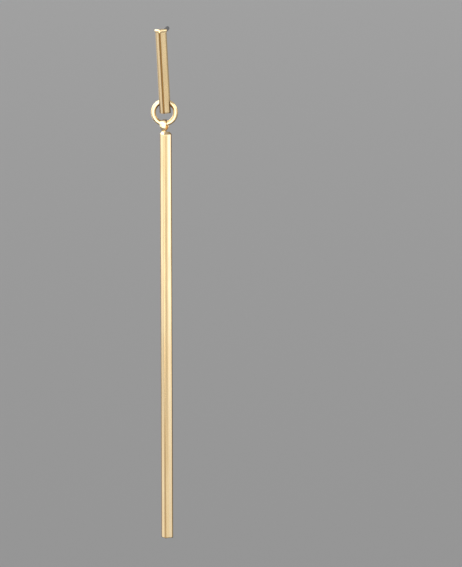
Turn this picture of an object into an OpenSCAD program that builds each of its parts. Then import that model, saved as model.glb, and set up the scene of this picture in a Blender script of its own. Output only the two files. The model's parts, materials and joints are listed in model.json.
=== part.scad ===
// Bar earring: a short square stud bar with a straight ear post, a round jump
// ring in a wire loop behind the bar's lower end, and a long square drop bar
// that hangs from the ring by a flattened eye set in its top end.
// Millimetres. +Z is up and the bars' fronts look along -Y. The origin is on
// the post's axis, in the plane where the stud bar's back meets the ear lobe.

/* [Stud bar] */
// Side of the stud bar's square section
stud_side = 1.6; // [1.4:0.05:1.7]
// Rounding of the stud bar's four long corners
stud_arris_r = 0.24; // [0.15:0.01:0.28]
// Length of the stud bar from end to end
stud_len = 15.2; // [15:0.1:20]
// Height of the stud bar's top end above the post's axis
stud_above_post = 1; // [1:0.1:1.2]
// Turn of the stud bar's front corner to the left of straight ahead, in degrees
stud_turn = 10; // [0:1:15]
// Lean of the stud bar's top end to the left, in degrees
stud_lean = 3; // [0:0.5:4]
// Height of the rolled rim around the stud bar's top end
rim_h = 0.6; // [0.5:0.05:0.6]
// Width by which the rim stands out from each side of the stud bar
rim_out = 0.1; // [0.04:0.01:0.12]

/* [Ear post] */
// Diameter of the ear post
post_d = 0.8; // [0.7:0.05:0.9]
// Length of the ear post behind the lobe seat
post_len = 10; // [8:0.5:12]
// Diameter of the post's thinner root, set in the stud bar
post_root_d = 0.44; // [0.36:0.02:0.46]
// Depth of the post's blind hole, measured from the lobe seat
post_seat = 1.1; // [0.8:0.1:1.2]

/* [Loop and jump ring] */
// Distance along the stud bar from the post to the centre of the back loop
loop_drop = 12.1; // [11.5:0.1:12.2]
// Distance from the stud bar's axis to the middle of the back loop, to the right
loop_off = -0.2; // [-0.3:0.05:0.2]
// Wire diameter of the back loop
loop_wire = 0.55; // [0.5:0.05:0.6]
// Radius of the back loop's hole
loop_hole_r = 0.65; // [0.6:0.05:0.7]
// Outer diameter of the jump ring
ring_od = 4.9; // [4.6:0.1:5.4]
// Wire diameter of the jump ring
ring_wire = 0.9; // [0.8:0.05:0.9]
// Distance from the stud bar's axis back to the jump ring's plane
ring_back = 1.6; // [1.6:0.05:1.7]

/* [Drop bar] */
// Side of the drop bar's square section
drop_side = 1.65; // [1.5:0.05:1.7]
// Rounding of the drop bar's four long corners
drop_arris_r = 0.16; // [0.1:0.01:0.2]
// Length of the drop bar below its shoulder
drop_len = 73.6; // [40:0.1:90]
// Turn of the drop bar's front corner to the left of straight ahead, in degrees
drop_turn = 13; // [0:1:14]
// Lean of the drop's lower end to the right, in degrees
drop_lean = 0.15; // [0:0.05:0.3]
// Distance from the eye's middle to the drop bar's axis, to the right
bar_off = 0.22; // [0:0.01:0.24]
// Height of the sloping shoulder above the bar
shoulder_h = 0.44; // [0.35:0.01:0.5]
// Part of the bar's width that is left at the shoulder's top
shoulder_taper = 0.62; // [0.6:0.02:0.8]

/* [Eye of the drop bar] */
// Radius of the eye's hole at its middle
eye_hole_r = 0.84; // [0.8:0.01:0.9]
// Thickness of the eye's strap at its middle
eye_wall = 0.27; // [0.26:0.01:0.36]
// Radius of the strap's rounding across its outer face
eye_out_bow = 3; // [2.5:0.1:3.5]
// Radius of the strap's rounding across its inner face
eye_in_bow = 1.2; // [1.1:0.05:1.5]
// Width of the eye's strap at its widest
eye_w = 1.16; // [1:0.02:1.2]
// Width of the neck under the eye
neck_w = 0.62; // [0.5:0.02:0.7]
// Diameter of the eye's peg, set in the drop bar's top end
peg_d = 0.5; // [0.4:0.02:0.56]
// Length of the eye's peg
peg_len = 0.8; // [0.5:0.1:1.5]

/* [Edges and gaps] */
// Rounding of the bars' end edges
end_r = 0.22; // [0.15:0.01:0.25]
// Gap left between two links where one hangs in the other
hang_gap = 0.06; // [0.05:0.01:0.08]
// Gap around the post's root and the eye's peg, and at their shoulders
set_gap = 0.02; // [0.01:0.01:0.03]

/* [Hidden] */
$fn = 96;
GOLD = [0.86, 0.68, 0.36];
STEEL = [0.62, 0.62, 0.63];

// The lobe seat is the plane that touches the stud bar's rounded back corner
seat = (stud_side / 2 - stud_arris_r) * sqrt(2) * cos(stud_turn) + stud_arris_r;
stud_low = stud_above_post - stud_len;
rim_edge_r = 0.45 * rim_h;

// The jump ring hangs upright in the back loop, in the X-Z plane
ring_r = ring_wire / 2;
ring_mid = (ring_od - ring_wire) / 2;
ring_x = loop_drop * sin(stud_lean) + loop_off * cos(stud_lean);
ring_y = ring_back - seat;
loop_z = loop_off * sin(stud_lean) - loop_drop * cos(stud_lean);
ring_top_z = loop_z - (loop_hole_r - ring_r - hang_gap);
ring_z = ring_top_z - ring_mid;

// The drop hangs on the ring's lowest stretch of wire
hang_z = ring_z - ring_mid;
eye_z = ring_r + hang_gap - eye_hole_r;
eye_out_r = eye_hole_r + eye_wall;
neck_top = eye_z - eye_hole_r - eye_wall / 3;
shoulder_top = eye_z - eye_out_r - 2 * set_gap;
bar_top = shoulder_top - shoulder_h;

// A square with rounded corners
module rounded_square(side, r) {
    flat = side - 2 * r;
    square([side, flat], center = true);
    square([flat, side], center = true);
    for (sx = [-1, 1], sy = [-1, 1])
        translate([sx, sy] * flat / 2) circle(r);
}

// An upright strip from low to high whose lower corners are rounded
module foot_strip(w, low, high, r) {
    translate([-w / 2, low + r]) square([w, high - low - r]);
    translate([r - w / 2, low]) square([w - 2 * r, high - low]);
    for (s = [-1, 1])
        translate([s * (w / 2 - r), low + r]) circle(r);
}

// The solid that has the same outline seen along X and along Y
module same_both_ways(depth) {
    intersection_for(turn = [0, 90])
        rotate([90, 0, turn])
            linear_extrude(height = depth, center = true)
                children();
}

// A square bar from low to high with rounded long corners and end edges
module square_bar(side, low, high, r_long, r_end) {
    intersection() {
        translate([0, 0, low])
            linear_extrude(height = high - low)
                rounded_square(side, r_long);
        same_both_ways(2 * side) end_strip(side, low, high, r_end);
    }
}

// An upright strip from low to high with all four corners rounded
module end_strip(w, low, high, r) {
    mid = (low + high) / 2;
    foot_strip(w, low, mid, r);
    translate([0, 2 * mid]) mirror([0, 1]) foot_strip(w, low, mid, r);
}

// The wire loop soldered to the back of the stud bar, its hole along X
module back_loop() {
    translate([loop_off, ring_back, -loop_drop])
        rotate([0, 90, 0])
            rotate_extrude()
                translate([loop_hole_r + loop_wire / 2, 0])
                    circle(loop_wire / 2);
}

// Square bar, its rim and its back loop, in one soldered piece
module stud_bar() {
    color(GOLD)
        difference() {
            translate([0, -seat, 0])
                rotate([0, -stud_lean, 0]) {
                    rotate([0, 0, 45 - stud_turn]) {
                        square_bar(stud_side, stud_low, stud_above_post - rim_h / 4, stud_arris_r, end_r);
                        square_bar(stud_side + 2 * rim_out, stud_above_post - rim_h,
                            stud_above_post, stud_arris_r + rim_out, rim_edge_r);
                    }
                    back_loop();
                }
            rotate([-90, 0, 0])
                translate([0, 0, -post_seat])
                    cylinder(h = post_seat + 1, r = post_root_d / 2 + set_gap);
        }
}

// Straight ear post with a thinner root and a round tip
module ear_post() {
    r = post_d / 2;
    color(STEEL)
        rotate([-90, 0, 0]) {
            translate([0, 0, set_gap - post_seat])
                cylinder(h = post_seat, r = post_root_d / 2);
            translate([0, 0, set_gap])
                cylinder(h = post_len - set_gap - r, r = r);
            translate([0, 0, post_len - r]) sphere(r);
        }
}

// Round ring of round wire
module jump_ring() {
    color(GOLD)
        translate([ring_x, ring_y, ring_z])
            rotate([90, 0, 0])
                rotate_extrude()
                    translate([ring_mid, 0])
                        circle(ring_r);
}

// Section of the eye's strap, thick in the middle and thin at both sides
module strap_section() {
    intersection() {
        translate([eye_out_r - eye_out_bow, 0]) circle(eye_out_bow);
        translate([eye_hole_r + eye_in_bow, 0]) circle(eye_in_bow);
        translate([eye_hole_r, -eye_w / 2]) square([eye_wall, eye_w]);
    }
}

// Front outline of the eye: a drop shape, round above and narrow at the neck
module eye_outline() {
    round_r = eye_w / 2 + 0.06;
    round_z = eye_z + eye_out_r - round_r;
    fall = round_z - neck_top;
    slope = asin((round_r - neck_w / 2) / fall);
    side = round_r * [cos(slope), -sin(slope)];
    foot = eye_out_r / 2;
    translate([0, round_z]) circle(round_r);
    polygon([
        [-side[0], round_z + side[1]],
        [side[0], round_z + side[1]],
        [neck_w / 2, neck_top],
        [neck_w / 2, neck_top - foot],
        [-neck_w / 2, neck_top - foot],
        [-neck_w / 2, neck_top]
    ]);
}

// The eye's loop, its hole along X
module eye_loop() {
    intersection() {
        translate([0, 0, eye_z])
            rotate([0, 90, 0])
                rotate_extrude()
                    strap_section();
        rotate([90, 0, 0])
            linear_extrude(height = 4 * eye_out_r, center = true)
                eye_outline();
    }
}

// Neck under the eye, longer front to back than it is wide, with a round peg
module neck() {
    base = shoulder_top + set_gap;
    translate([0, 0, base])
        linear_extrude(height = neck_top - base) {
            square([neck_w, neck_w / 2], center = true);
            for (s = [-1, 1])
                translate([0, s * neck_w / 4]) circle(neck_w / 2);
        }
    translate([0, 0, shoulder_top - peg_len])
        cylinder(h = neck_top - shoulder_top + peg_len, d = peg_d);
}

// Side view of the drop bar: rounded foot below and sloping shoulder above
module drop_strip() {
    half = drop_side / 2;
    foot_strip(drop_side, bar_top - drop_len, bar_top, end_r);
    polygon([
        [-half, bar_top],
        [half, bar_top],
        [half * shoulder_taper, shoulder_top],
        [-half * shoulder_taper, shoulder_top]
    ]);
}

// Hangs a piece of the drop on the ring's lowest wire, leans and turns it
module hung(shift = 0) {
    translate([ring_x, ring_y, hang_z])
        rotate([0, -drop_lean, 0])
            translate([shift, 0, 0])
                rotate([0, 0, -drop_turn])
                    children();
}

// Flattened eye that hangs on the ring, with its neck and peg
module drop_eye() {
    color(GOLD)
        hung() {
            neck();
            eye_loop();
        }
}

// Square drop bar with a sloping shoulder and a blind hole for the eye's peg
module drop_bar() {
    color(GOLD)
        difference() {
            hung(bar_off)
                rotate([0, 0, 45])
                    intersection() {
                        translate([0, 0, bar_top - drop_len])
                            linear_extrude(height = drop_len + shoulder_h)
                                rounded_square(drop_side, drop_arris_r);
                        same_both_ways(2 * drop_side) drop_strip();
                    }
            hung()
                translate([0, 0, shoulder_top - peg_len - set_gap])
                    cylinder(h = peg_len + 1, d = peg_d + 2 * set_gap);
        }
}

stud_bar();
ear_post();
jump_ring();
drop_eye();
drop_bar();
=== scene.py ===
"""Bar earring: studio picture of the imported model, with polished gold and steel materials."""

import json
import math

import bpy
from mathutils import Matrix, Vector


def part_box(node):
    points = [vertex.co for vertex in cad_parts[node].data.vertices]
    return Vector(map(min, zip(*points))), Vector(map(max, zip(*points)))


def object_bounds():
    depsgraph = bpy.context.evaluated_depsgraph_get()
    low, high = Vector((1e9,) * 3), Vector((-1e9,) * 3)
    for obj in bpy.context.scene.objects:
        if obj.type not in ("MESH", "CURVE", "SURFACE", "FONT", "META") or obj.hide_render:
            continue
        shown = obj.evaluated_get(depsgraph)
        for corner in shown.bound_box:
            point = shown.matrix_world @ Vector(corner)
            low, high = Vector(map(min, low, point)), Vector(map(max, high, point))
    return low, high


# The photograph's frame in pixels, and where the drop's hanging point lies in it
PHOTO_W = 462
PHOTO_H = 567
HANG_X = 164.5
HANG_Y = 123.5
PIXELS_PER_METRE = 5560.0

# The camera stands a little to the right of the ear post's axis and above it
CAMERA_YAW = math.radians(5.5)
CAMERA_RISE = math.radians(8.0)
CAMERA_DISTANCE = 1.5
SENSOR = 36.0
CLIP = (0.01, 50.0)

# The floor lies this far below the drop's end, and reaches this far each way
FLOOR_GAP = 0.9
FLOOR_HALF = 25.0
FLOOR_ROUGH = 0.9

# The floor's tone at some distances from the spot below the earring: dark nearby and
# pale far off, painted shade standing in for light that falls off
FLOOR_REACH = 10.0
FLOOR_SHADE_TONES = [(1.5, 0.22), (5.07, 0.637), (9.4, 0.768)]

# Light from all round: dim near the horizon and brighter overhead
SKY_LOW = (0.36, 0.36, 0.36)
SKY_HIGH = (0.5, 0.5, 0.5)

# Upright soft boxes stand at this distance round the earring, open at the back
TENT_DISTANCE = 0.9
TENT = [
    # name, azimuths of its sides, heights of its foot and top, radiance
    ("left", (-165.0, -88.0), (-0.5, 0.5), 0.36),
    ("left_high", (-165.0, -118.5), (-0.19, 0.5), 0.65),
    ("left_low", (-165.0, -118.5), (-0.5, -0.222), 0.30),
    ("left_top", (-165.0, -80.0), (0.1, 0.8), 1.4),
    ("front_left", (-88.0, -40.0), (-0.5, 0.5), 0.7),
    ("front", (-40.0, 30.0), (-0.9, 0.5), 1.9),
    ("right", (45.0, 115.0), (-0.5, 0.5), 0.24),
    ("right_high", (40.0, 61.5), (-0.19, 0.3), 0.90),
    ("right_low", (40.0, 61.5), (-0.5, -0.19), 0.28),
    ("right_top", (45.0, 125.0), (0.25, 0.75), 1.6),
    ("right_foot", (35.0, 95.0), (-0.95, -0.55), 0.5),
]

# A level soft box above the earring, to the front and left of it
TOP_PLACE = (-0.45, -0.35, 0.75)
TOP_SIZE = (1.3, 1.5)
TOP_RADIANCE = 2.0

# Painted shade and painted highlight tones that are laid over a metal's own in some places
PAINTED_SHADE_GOLD = (0.14, 0.06, 0.008)
PAINTED_HIGHLIGHT_GOLD = (0.99, 0.88, 0.68)

# Each metal's own tones, its range of roughness, and the height of its waves; the
# steel's are kept dark as painted shade
BAR_GOLD = {
    "deep": (0.93, 0.69, 0.37),
    "pale": (0.97, 0.75, 0.43),
    "rough": (0.12, 0.20),
    "wave": 0.000002,
}
RING_GOLD = {
    "deep": (0.93, 0.66, 0.33),
    "pale": (0.97, 0.72, 0.39),
    "rough": (0.22, 0.30),
    "wave": 0.000002,
}
EYE_GOLD = {
    "deep": (0.95, 0.74, 0.45),
    "pale": (0.98, 0.80, 0.52),
    "rough": (0.22, 0.30),
    "wave": 0.000002,
}
# The steel is kept very dark: painted shade on the post
SHADED_STEEL = {
    "deep": (0.11, 0.11, 0.11),
    "pale": (0.15, 0.15, 0.15),
    "rough": (0.25, 0.35),
    "wave": 0.000001,
}

# Noise in the metals: scale, detail, and stretch along each axis
TONE_GRAIN = (420.0, 2.0, (1.0, 1.0, 0.25))
GLOSS_GRAIN = (1500.0, 3.0, (1.0, 1.0, 0.12))
WAVE_GRAIN = (260.0, 1.0, (1.0, 1.0, 0.4))

# The middle range of a noise, where nearly all of its values lie
NOISE_RANGE = (0.3, 0.7)

# Each bar's side, edge rounding, turn and lean, as modelled, and how far past its
# rounding the painted shade on an edge fades out
STUD = {
    "side": 0.0016,
    "edge": 0.00024,
    "turn": math.radians(35.0),
    "lean": math.radians(-3.0),
    "fade": 0.00019,
}
DROP = {
    "side": 0.00165,
    "edge": 0.00016,
    "turn": math.radians(32.0),
    "lean": math.radians(-0.15),
    "fade": 0.00012,
}

# How much further a side edge's painted shade fades out over a bar's narrow left face,
# and over the face opposite
SIDE_FADE = 0.00015

# The painted shade ends between these distances from a bar's axis planes, so that
# the loop behind the stud bar has none
EDGE_END = (0.00085, 0.00105)

# How deep the painted shade on a bar's edges is, standing in for dark reflections and
# the shade by the stud's foot: marks of height and depth, from the top down
STUD_PAINTED_SHADE = {
    "front": ((0.00050, 0.0), (0.00035, 0.95)),
    "side": ((0.00050, 0.0), (0.00035, 0.45), (-0.0113, 0.45), (-0.0126, 0.97)),
}
DROP_PAINTED_SHADE = {
    "front": ((-0.0180, 0.0), (-0.0186, 0.25), (-0.045, 0.25), (-0.085, 0.78)),
    "side": ((-0.0178, 0.5), (-0.0183, 0.95)),
}

# Soft bands of painted highlight and painted shade along the drop's faces, laid in
# this order: place of the middle across the face, reach to each side, marks of height
# and strength, and colour. The first is a painted highlight, the second a painted
# dark reflection, and the last one, on the shoulder, painted shade.
DROP_PAINTED_BANDS = [
    (0.00024, 0.00042, ((-0.0178, 0.0), (-0.0183, 1.0), (-0.060, 0.35)), PAINTED_HIGHLIGHT_GOLD),
    (
        -0.00037,
        0.00040,
        ((-0.0180, 0.0), (-0.0186, 0.45), (-0.060, 0.45), (-0.088, 0.0)),
        PAINTED_SHADE_GOLD,
    ),
    (0.0005, 0.0008, ((-0.0178, 0.5), (-0.01813, 0.5), (-0.01820, 0.0)), PAINTED_SHADE_GOLD),
]

# Heights between which painted shade grows deeper towards the eye's top, and how deep
EYE_TOP = (-0.01586, -0.01566)
EYE_DEPTH = 0.65

# The ring's painted highlight, a brighter line: distance from the ring's centre, reach and
# strength
RING_PAINTED_HIGHLIGHT = (0.00212, 0.00026, 0.3)

# Distances from the ring's centre between which painted shade grows deeper over its
# inner side, all round and how deep, and near the top, beside the stud bar, between heights
# above the centre
RING_INNER = (0.00196, 0.00172)
INNER_DEPTH = 0.3
RING_INSIDE = (0.00192, 0.00162)
RING_UPPER = (0.00055, 0.00105)


def corners(point_pair):
    """A pair of corners as plain lists of numbers."""
    return [list(point) for point in point_pair]


def socket(node, name, value):
    """Sets one input of a shader node."""
    node.inputs[name].default_value = value


def new_material(name):
    """A node material with an empty tree, its output and a Principled shader."""
    material = bpy.data.materials.new(name)
    material.use_nodes = True
    nodes = material.node_tree.nodes
    nodes.clear()
    output = nodes.new("ShaderNodeOutputMaterial")
    shader = nodes.new("ShaderNodeBsdfPrincipled")
    material.node_tree.links.new(shader.outputs["BSDF"], output.inputs["Surface"])
    return material, shader


def add_noise(material, scale, detail, stretch):
    """A noise texture on the object's own coordinates, and the node's output."""
    nodes = material.node_tree.nodes
    links = material.node_tree.links
    place = nodes.new("ShaderNodeTexCoord")
    mapping = nodes.new("ShaderNodeMapping")
    noise = nodes.new("ShaderNodeTexNoise")
    socket(mapping, "Scale", stretch)
    socket(noise, "Scale", scale)
    socket(noise, "Detail", detail)
    links.new(place.outputs["Object"], mapping.inputs["Vector"])
    links.new(mapping.outputs["Vector"], noise.inputs["Vector"])
    return noise.outputs["Fac"]


def spread(material, source, low, high):
    """A noise's middle range spread over low to high."""
    node = material.node_tree.nodes.new("ShaderNodeMapRange")
    socket(node, "From Min", NOISE_RANGE[0])
    socket(node, "From Max", NOISE_RANGE[1])
    socket(node, "To Min", low)
    socket(node, "To Max", high)
    material.node_tree.links.new(source, node.inputs["Value"])
    return node.outputs["Result"]


def mix_colours(material, factor, first, second):
    """A colour that goes from the first to the second as the factor goes from 0 to 1."""
    node = material.node_tree.nodes.new("ShaderNodeMix")
    node.data_type = "RGBA"
    links = material.node_tree.links
    for name, value in (("Factor", factor), ("A", first), ("B", second)):
        if isinstance(value, tuple):
            node.inputs[name].default_value = (*value, 1.0)
        else:
            links.new(value, node.inputs[name])
    return node.outputs["Result"]


def maths(material, operation, first, second=0.0):
    """One step of arithmetic on two sockets or numbers."""
    node = material.node_tree.nodes.new("ShaderNodeMath")
    node.operation = operation
    for place, value in enumerate((first, second)):
        if isinstance(value, float):
            node.inputs[place].default_value = value
        else:
            material.node_tree.links.new(value, node.inputs[place])
    return node.outputs["Value"]


def ramp(material, source, start, end):
    """0 where the source is at the start and 1 where it is at the end, smooth between them."""
    node = material.node_tree.nodes.new("ShaderNodeMapRange")
    node.interpolation_type = "SMOOTHSTEP"
    socket(node, "From Min", start)
    socket(node, "From Max", end)
    material.node_tree.links.new(source, node.inputs["Value"])
    return node.outputs["Result"]


def line(material, source, middle, reach):
    """1 where the source is at the middle, and 0 at the reach from it or further."""
    offset = maths(material, "ABSOLUTE", maths(material, "SUBTRACT", source, middle))
    return ramp(material, offset, reach, 0.0)


def by_height(material, height, marks):
    """A value that goes smoothly between marks, each a height and the value there."""
    value = marks[0][1]
    for (start, first), (end, second) in zip(marks, marks[1:]):
        step = maths(material, "MULTIPLY", ramp(material, height, start, end), second - first)
        value = maths(material, "ADD", value, step)
    return value


def object_places(material):
    """The three object coordinates of the point that is shaded."""
    nodes = material.node_tree.nodes
    place = nodes.new("ShaderNodeTexCoord")
    split = nodes.new("ShaderNodeSeparateXYZ")
    material.node_tree.links.new(place.outputs["Object"], split.inputs["Vector"])
    return [split.outputs[axis] for axis in "XYZ"]


def bar_places(material, bar, origin):
    """The two places across a square bar, from a line along it through the origin."""
    nodes = material.node_tree.nodes
    links = material.node_tree.links
    place = nodes.new("ShaderNodeTexCoord")
    lean = nodes.new("ShaderNodeMapping")
    turn = nodes.new("ShaderNodeMapping")
    for mapping in (lean, turn):
        mapping.vector_type = "TEXTURE"
    socket(lean, "Location", origin)
    socket(lean, "Rotation", (0.0, bar["lean"], 0.0))
    socket(turn, "Rotation", (0.0, 0.0, bar["turn"]))
    split = nodes.new("ShaderNodeSeparateXYZ")
    links.new(place.outputs["Object"], lean.inputs["Vector"])
    links.new(lean.outputs["Vector"], turn.inputs["Vector"])
    links.new(turn.outputs["Vector"], split.inputs["Vector"])
    return split.outputs["X"], split.outputs["Y"]


def long_edges(material, bar, across):
    """Two factors for a square bar, from the two places across it.

    The first is 1 along the four rounded long edges, and 0 on the faces and on what
    stands out behind the bar. The second is 1 in the front and back quarters and 0
    in the quarters at the sides.
    """
    corner = maths(material, "MULTIPLY", *across)
    in_front = maths(material, "GREATER_THAN", corner, 0.0)
    at_side = maths(material, "SUBTRACT", 1.0, in_front)
    first, second = (maths(material, "ABSOLUTE", place) for place in across)
    wider = maths(material, "MULTIPLY", at_side, SIDE_FADE)
    nearest = maths(material, "MINIMUM", first, maths(material, "ADD", second, wider))
    rounding = bar["side"] / 2 - bar["edge"]
    edges = ramp(material, nearest, rounding - bar["fade"], rounding)
    on_bar = maths(material, "SUBTRACT", 1.0, ramp(material, nearest, *EDGE_END))
    return maths(material, "MULTIPLY", edges, on_bar), in_front


def polished_metal(name, metal):
    """Polished metal whose tone and gloss vary a little, with faint waves in the polish."""
    material, shader = new_material(name)
    nodes = material.node_tree.nodes
    links = material.node_tree.links
    socket(shader, "Metallic", 1.0)
    patches = spread(material, add_noise(material, *TONE_GRAIN), 0.0, 1.0)
    tone = mix_colours(material, patches, metal["deep"], metal["pale"])
    links.new(tone, shader.inputs["Base Color"])
    polish = spread(material, add_noise(material, *GLOSS_GRAIN), *metal["rough"])
    links.new(polish, shader.inputs["Roughness"])
    bump = nodes.new("ShaderNodeBump")
    socket(bump, "Strength", 1.0)
    socket(bump, "Distance", metal["wave"])
    links.new(add_noise(material, *WAVE_GRAIN), bump.inputs["Height"])
    links.new(bump.outputs["Normal"], shader.inputs["Normal"])
    return material, shader, tone


def paint_shade(material, shader, tone, factor):
    """Gives the shader its tone, with painted shade mixed in by the factor."""
    deeper = mix_colours(material, factor, tone, PAINTED_SHADE_GOLD)
    material.node_tree.links.new(deeper, shader.inputs["Base Color"])


def gold_bar(name, bar, origin, depth, bands=()):
    """Polished gold with soft bands of painted highlight and painted shade along a bar's faces,
    and painted shade on its long edges.
    """
    material, shader, tone = polished_metal(name, BAR_GOLD)
    height = object_places(material)[2]
    across = bar_places(material, bar, origin)
    for middle, reach, marks, colour in bands:
        strength = by_height(material, height, marks)
        factor = maths(material, "MULTIPLY", line(material, across[0], middle, reach), strength)
        tone = mix_colours(material, factor, tone, colour)
    front, side = (by_height(material, height, depth[edge]) for edge in ("front", "side"))
    edges, in_front = long_edges(material, bar, across)
    extra = maths(material, "MULTIPLY", in_front, maths(material, "SUBTRACT", front, side))
    shade_here = maths(material, "ADD", side, extra)
    paint_shade(material, shader, tone, maths(material, "MULTIPLY", edges, shade_here))
    return material


def eye_gold():
    """Link gold with painted shade over the eye's top."""
    material, shader, tone = polished_metal("eye_gold", EYE_GOLD)
    height = object_places(material)[2]
    factor = maths(material, "MULTIPLY", ramp(material, height, *EYE_TOP), EYE_DEPTH)
    paint_shade(material, shader, tone, factor)
    return material


def ring_gold(centre):
    """Link gold with a painted highlight along the ring's wire and painted shade on its inner
    side.
    """
    material, shader, tone = polished_metal("ring_gold", RING_GOLD)
    across, _, height = object_places(material)
    aside = maths(material, "SUBTRACT", across, centre.x)
    rise = maths(material, "SUBTRACT", height, centre.z)
    squares = [maths(material, "MULTIPLY", part, part) for part in (aside, rise)]
    distance = maths(material, "SQRT", maths(material, "ADD", *squares))
    middle, reach, strength = RING_PAINTED_HIGHLIGHT
    bright = maths(material, "MULTIPLY", line(material, distance, middle, reach), strength)
    tone = mix_colours(material, bright, tone, PAINTED_HIGHLIGHT_GOLD)
    inner = maths(material, "MULTIPLY", ramp(material, distance, *RING_INNER), INNER_DEPTH)
    tone = mix_colours(material, inner, tone, PAINTED_SHADE_GOLD)
    inside = ramp(material, distance, *RING_INSIDE)
    upper = ramp(material, rise, *RING_UPPER)
    paint_shade(material, shader, tone, maths(material, "MULTIPLY", inside, upper))
    return material


def dress(node, material):
    """Gives a CAD node its one material."""
    piece = frame["nodes"][node]
    piece.data.materials.clear()
    piece.data.materials.append(material)


def look_along(thing, direction):
    """Turns a camera or light so that it looks along a direction."""
    thing.rotation_mode = "QUATERNION"
    thing.rotation_quaternion = Vector(direction).to_track_quat("-Z", "Y")


def soft_box(name, place, direction, size, radiance):
    """An even rectangular light that hides from the camera."""
    data = bpy.data.lights.new(name, "AREA")
    data.shape = "RECTANGLE"
    data.size, data.size_y = size
    data.energy = radiance * math.pi * size[0] * size[1]
    lamp = bpy.data.objects.new(name, data)
    bpy.context.scene.collection.objects.link(lamp)
    lamp.location = place
    look_along(lamp, direction)
    lamp.visible_camera = False


def tent_side(name, sides, heights, radiance):
    """An upright soft box that faces the earring.

    The azimuths of its sides are in degrees to the right of the front.
    """
    turn = math.radians(sum(sides) / 2)
    width = 2 * TENT_DISTANCE * math.tan(math.radians(sides[1] - sides[0]) / 2)
    outward = Vector((math.sin(turn), -math.cos(turn), 0.0))
    place = outward * TENT_DISTANCE + Vector((0.0, 0.0, sum(heights) / 2))
    soft_box(name, place, -outward, (width, heights[1] - heights[0]), radiance)


def camera_axes():
    """The camera's forward, right and up directions."""
    forward = Vector((
        -math.sin(CAMERA_YAW) * math.cos(CAMERA_RISE),
        math.cos(CAMERA_YAW) * math.cos(CAMERA_RISE),
        -math.sin(CAMERA_RISE),
    ))
    right = forward.cross(Vector((0.0, 0.0, 1.0))).normalized()
    return forward, right, right.cross(forward)


def make_camera(hang):
    """The camera that puts the hanging point at its pixel of the photograph."""
    forward, right, up = camera_axes()
    target = (
        hang
        + right * ((PHOTO_W / 2 - HANG_X) / PIXELS_PER_METRE)
        + up * ((HANG_Y - PHOTO_H / 2) / PIXELS_PER_METRE)
    )
    data = bpy.data.cameras.new("camera")
    data.sensor_width = SENSOR
    data.lens = SENSOR * CAMERA_DISTANCE * PIXELS_PER_METRE / PHOTO_H
    data.clip_start, data.clip_end = CLIP
    camera = bpy.data.objects.new("camera", data)
    bpy.context.scene.collection.objects.link(camera)
    camera.location = target - forward * CAMERA_DISTANCE
    look_along(camera, forward)
    bpy.context.scene.camera = camera


def make_floor(low_z):
    """A wide pale floor far below the hanging earring, a little darker nearby with painted
    shade.
    """
    bpy.ops.mesh.primitive_plane_add(size=2 * FLOOR_HALF, location=(0.0, 0.0, low_z - FLOOR_GAP))
    floor = bpy.context.object
    floor.name = "floor"
    material, shader = new_material("floor_paper")
    nodes = material.node_tree.nodes
    links = material.node_tree.links
    place = nodes.new("ShaderNodeTexCoord")
    reach = nodes.new("ShaderNodeVectorMath")
    reach.operation = "LENGTH"
    part = maths(material, "DIVIDE", reach.outputs["Value"], FLOOR_REACH)
    tone = nodes.new("ShaderNodeValToRGB")
    stops = tone.color_ramp.elements
    stops.new(0.5)
    for stop, (distance, value) in zip(stops, FLOOR_SHADE_TONES):
        stop.position = distance / FLOOR_REACH
        stop.color = (value, value, value, 1.0)
    links.new(place.outputs["Object"], reach.inputs["Vector"])
    links.new(part, tone.inputs["Fac"])
    links.new(tone.outputs["Color"], shader.inputs["Base Color"])
    socket(shader, "Roughness", FLOOR_ROUGH)
    floor.data.materials.append(material)


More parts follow.
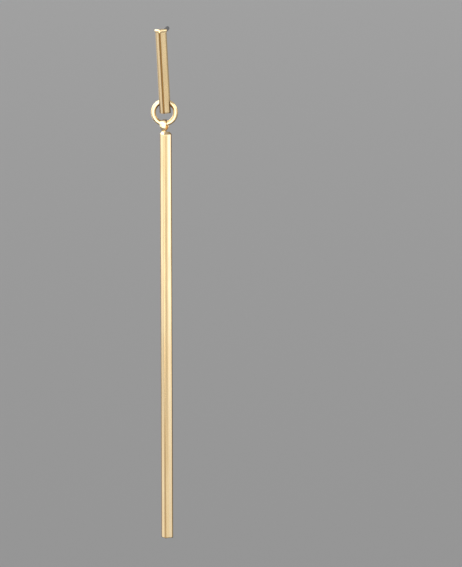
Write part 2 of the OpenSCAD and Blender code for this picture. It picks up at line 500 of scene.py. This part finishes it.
def make_world():
    """Soft light from all round that grows brighter from the horizon upwards."""
    world = bpy.data.worlds.new("studio")
    world.use_nodes = True
    nodes = world.node_tree.nodes
    links = world.node_tree.links
    place = nodes.new("ShaderNodeTexCoord")
    split = nodes.new("ShaderNodeSeparateXYZ")
    rise = nodes.new("ShaderNodeMapRange")
    sky = nodes.new("ShaderNodeMix")
    sky.data_type = "RGBA"
    sky.inputs["A"].default_value = (*SKY_LOW, 1.0)
    sky.inputs["B"].default_value = (*SKY_HIGH, 1.0)
    links.new(place.outputs["Generated"], split.inputs["Vector"])
    links.new(split.outputs["Z"], rise.inputs["Value"])
    links.new(rise.outputs["Result"], sky.inputs["Factor"])
    links.new(sky.outputs["Result"], nodes["Background"].inputs["Color"])
    bpy.context.scene.world = world


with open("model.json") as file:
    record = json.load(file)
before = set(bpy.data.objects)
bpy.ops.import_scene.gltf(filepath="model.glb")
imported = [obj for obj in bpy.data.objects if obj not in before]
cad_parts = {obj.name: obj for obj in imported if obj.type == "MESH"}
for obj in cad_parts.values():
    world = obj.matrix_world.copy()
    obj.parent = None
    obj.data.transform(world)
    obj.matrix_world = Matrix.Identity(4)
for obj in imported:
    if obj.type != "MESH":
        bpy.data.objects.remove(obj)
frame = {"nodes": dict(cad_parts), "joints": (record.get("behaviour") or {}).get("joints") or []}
cad_box = corners(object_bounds())

bpy.context.scene.view_settings.view_transform = "Standard"

# The stud's painted shade is placed from a line a little in front of its axis, and
# the drop's painted bands and shade from its own axis
stud_line = (0.0, -STUD["side"] / 2 * math.sqrt(2), 0.0)
drop_line = tuple((low + high) / 2 for low, high in zip(*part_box("drop_bar")))
pivots = {joint["name"]: Vector(joint["pos_m"]) for joint in frame["joints"]}

dress("stud_bar", gold_bar("stud_gold", STUD, stud_line, STUD_PAINTED_SHADE))
dress("drop_bar", gold_bar("drop_gold", DROP, drop_line, DROP_PAINTED_SHADE, DROP_PAINTED_BANDS))
dress("jump_ring", ring_gold(pivots["ring_sway"]))
dress("drop_eye", eye_gold())
dress("ear_post", polished_metal("shaded_steel", SHADED_STEEL)[0])

make_camera(pivots["drop_swing"])
make_floor(cad_box[0][2])
make_world()
for name, sides, heights, radiance in TENT:
    tent_side(name, sides, heights, radiance)
soft_box("top", TOP_PLACE, (0.0, 0.0, -1.0), TOP_SIZE, TOP_RADIANCE)
